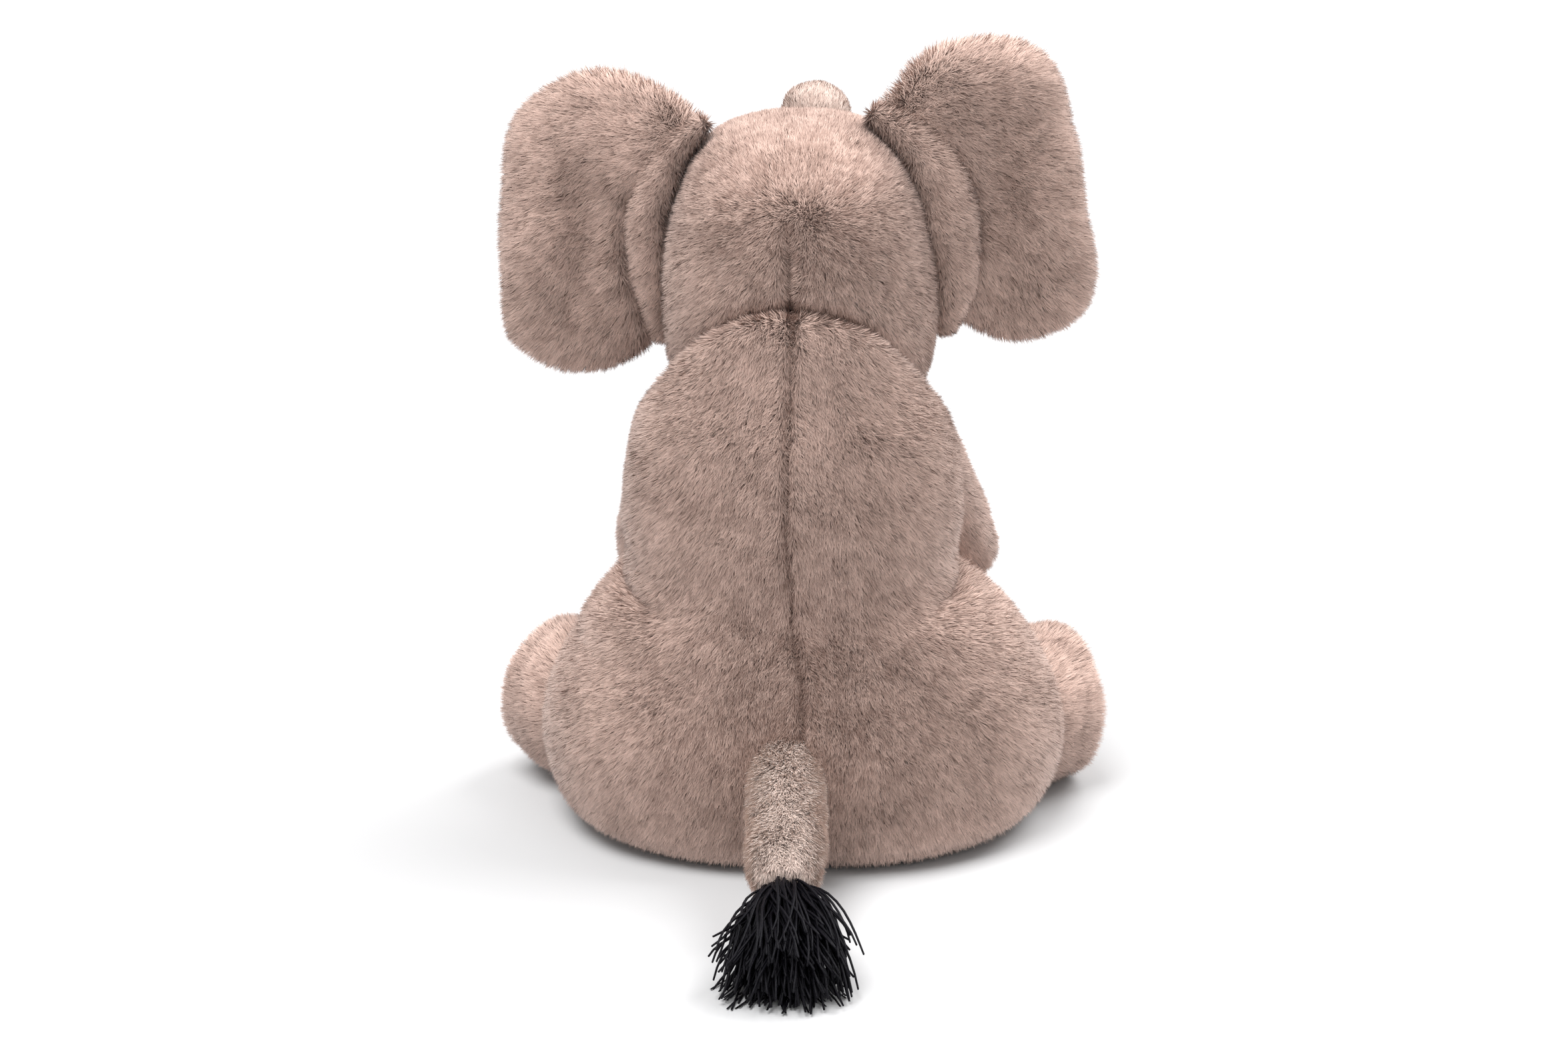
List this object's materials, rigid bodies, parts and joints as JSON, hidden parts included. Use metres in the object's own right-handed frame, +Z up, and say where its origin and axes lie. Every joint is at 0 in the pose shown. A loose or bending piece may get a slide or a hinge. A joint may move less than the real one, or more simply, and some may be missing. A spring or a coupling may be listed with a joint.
{
  "type": "stuffed elephant",
  "caption": "Seated plush elephant with large padded ears, raised trunk, sewn-in legs and a tail that ends in a yarn tuft.",
  "frame": {"origin": "on the floor, in the middle of the flat seat", "axes": "+Z up; the elephant faces -Y and its tail points to +Y; +X is its own left side"},
  "size_m": [0.221, 0.2948, 0.282],
  "materials": {
    "plush": "matte",
    "short_plush": "matte",
    "sole": "matte",
    "stuffing": "matte",
    "pouch": "matte",
    "pellets": "satin",
    "thread": "matte",
    "yarn": "satin",
    "eye": "gloss",
    "washer": "satin"
  },
  "bodies": {
    "torso": {"back_panel_left": "plush", "back_panel_right": "plush", "belly_panel": "plush", "seat_panel": "plush", "body_stuffing": "stuffing", "pellet_pouch": "pouch", "pellet_fill": "pellets", "closing_thread": "thread"},
    "head": {"head_back_panel": "plush", "face_panel_left": "plush", "face_panel_right": "plush", "head_stuffing": "stuffing", "eye_left": "eye", "eye_right": "eye", "eye_washer_left": "washer", "eye_washer_right": "washer"},
    "trunk": {"trunk_panel_left": "short_plush", "trunk_panel_right": "short_plush", "trunk_stuffing": "stuffing"},
    "ear_left": {"ear_back_left": "plush", "ear_front_left": "plush", "ear_wadding_left": "stuffing"},
    "front_leg_left": {"front_leg_outer_left": "plush", "front_leg_inner_left": "plush", "front_leg_sole_left": "sole", "front_leg_stuffing_left": "stuffing"},
    "hind_leg_left": {"hind_leg_upper_left": "plush", "hind_leg_under_left": "plush", "hind_leg_sole_left": "sole", "hind_leg_stuffing_left": "stuffing"},
    "ear_right": {"ear_back_right": "plush", "ear_front_right": "plush", "ear_wadding_right": "stuffing"},
    "front_leg_right": {"front_leg_outer_right": "plush", "front_leg_inner_right": "plush", "front_leg_sole_right": "sole", "front_leg_stuffing_right": "stuffing"},
    "hind_leg_right": {"hind_leg_upper_right": "plush", "hind_leg_under_right": "plush", "hind_leg_sole_right": "sole", "hind_leg_stuffing_right": "stuffing"},
    "tail": {"tail_panel": "short_plush", "tail_stuffing": "stuffing", "tail_tuft": "yarn", "tuft_binding": "thread"}
  },
  "joints": [
    {"name": "neck_nod", "type": "hinge", "parent": "torso", "child": "head", "pos_m": [0, -0.004, 0.142], "axis": [1, 0, 0], "range_deg": [-8, 10], "stiffness_Nm_per_rad": 1.6},
    {"name": "trunk_lift", "type": "hinge", "parent": "head", "child": "trunk", "pos_m": [-0.002, -0.066, 0.192], "axis": [-1, 0, 0], "range_deg": [-10, 10], "stiffness_Nm_per_rad": 0.3},
    {"name": "ear_flap_left", "type": "hinge", "parent": "head", "child": "ear_left", "pos_m": [0.047, -0.02, 0.174], "axis": [-0.2129, 0, 0.9771], "range_deg": [-20, 20], "stiffness_Nm_per_rad": 0.06},
    {"name": "ear_flap_right", "type": "hinge", "parent": "head", "child": "ear_right", "pos_m": [-0.047, -0.02, 0.186], "axis": [-0.236, 0, -0.9718], "range_deg": [-20, 20], "stiffness_Nm_per_rad": 0.06},
    {"name": "front_leg_swing_left", "type": "hinge", "parent": "torso", "child": "front_leg_left", "pos_m": [0.042, -0.03, 0.132], "axis": [-1, 0, 0], "range_deg": [-6, 35], "stiffness_Nm_per_rad": 0.25},
    {"name": "front_leg_swing_right", "type": "hinge", "parent": "torso", "child": "front_leg_right", "pos_m": [-0.042, -0.03, 0.132], "axis": [-1, 0, 0], "range_deg": [-6, 35], "stiffness_Nm_per_rad": 0.25},
    {"name": "hind_leg_splay_left", "type": "hinge", "parent": "torso", "child": "hind_leg_left", "pos_m": [0.05, -0.004, 0.0305], "axis": [0, 0, 1], "range_deg": [-8, 8], "stiffness_Nm_per_rad": 0.8},
    {"name": "hind_leg_splay_right", "type": "hinge", "parent": "torso", "child": "hind_leg_right", "pos_m": [-0.05, -0.004, 0.0305], "axis": [0, 0, -1], "range_deg": [-8, 8], "stiffness_Nm_per_rad": 0.8},
    {"name": "tail_swing", "type": "hinge", "parent": "torso", "child": "tail", "pos_m": [0.002, 0.054, 0.042], "axis": [0, 0, 1], "range_deg": [-22, 22], "stiffness_Nm_per_rad": 0.06}
  ]
}
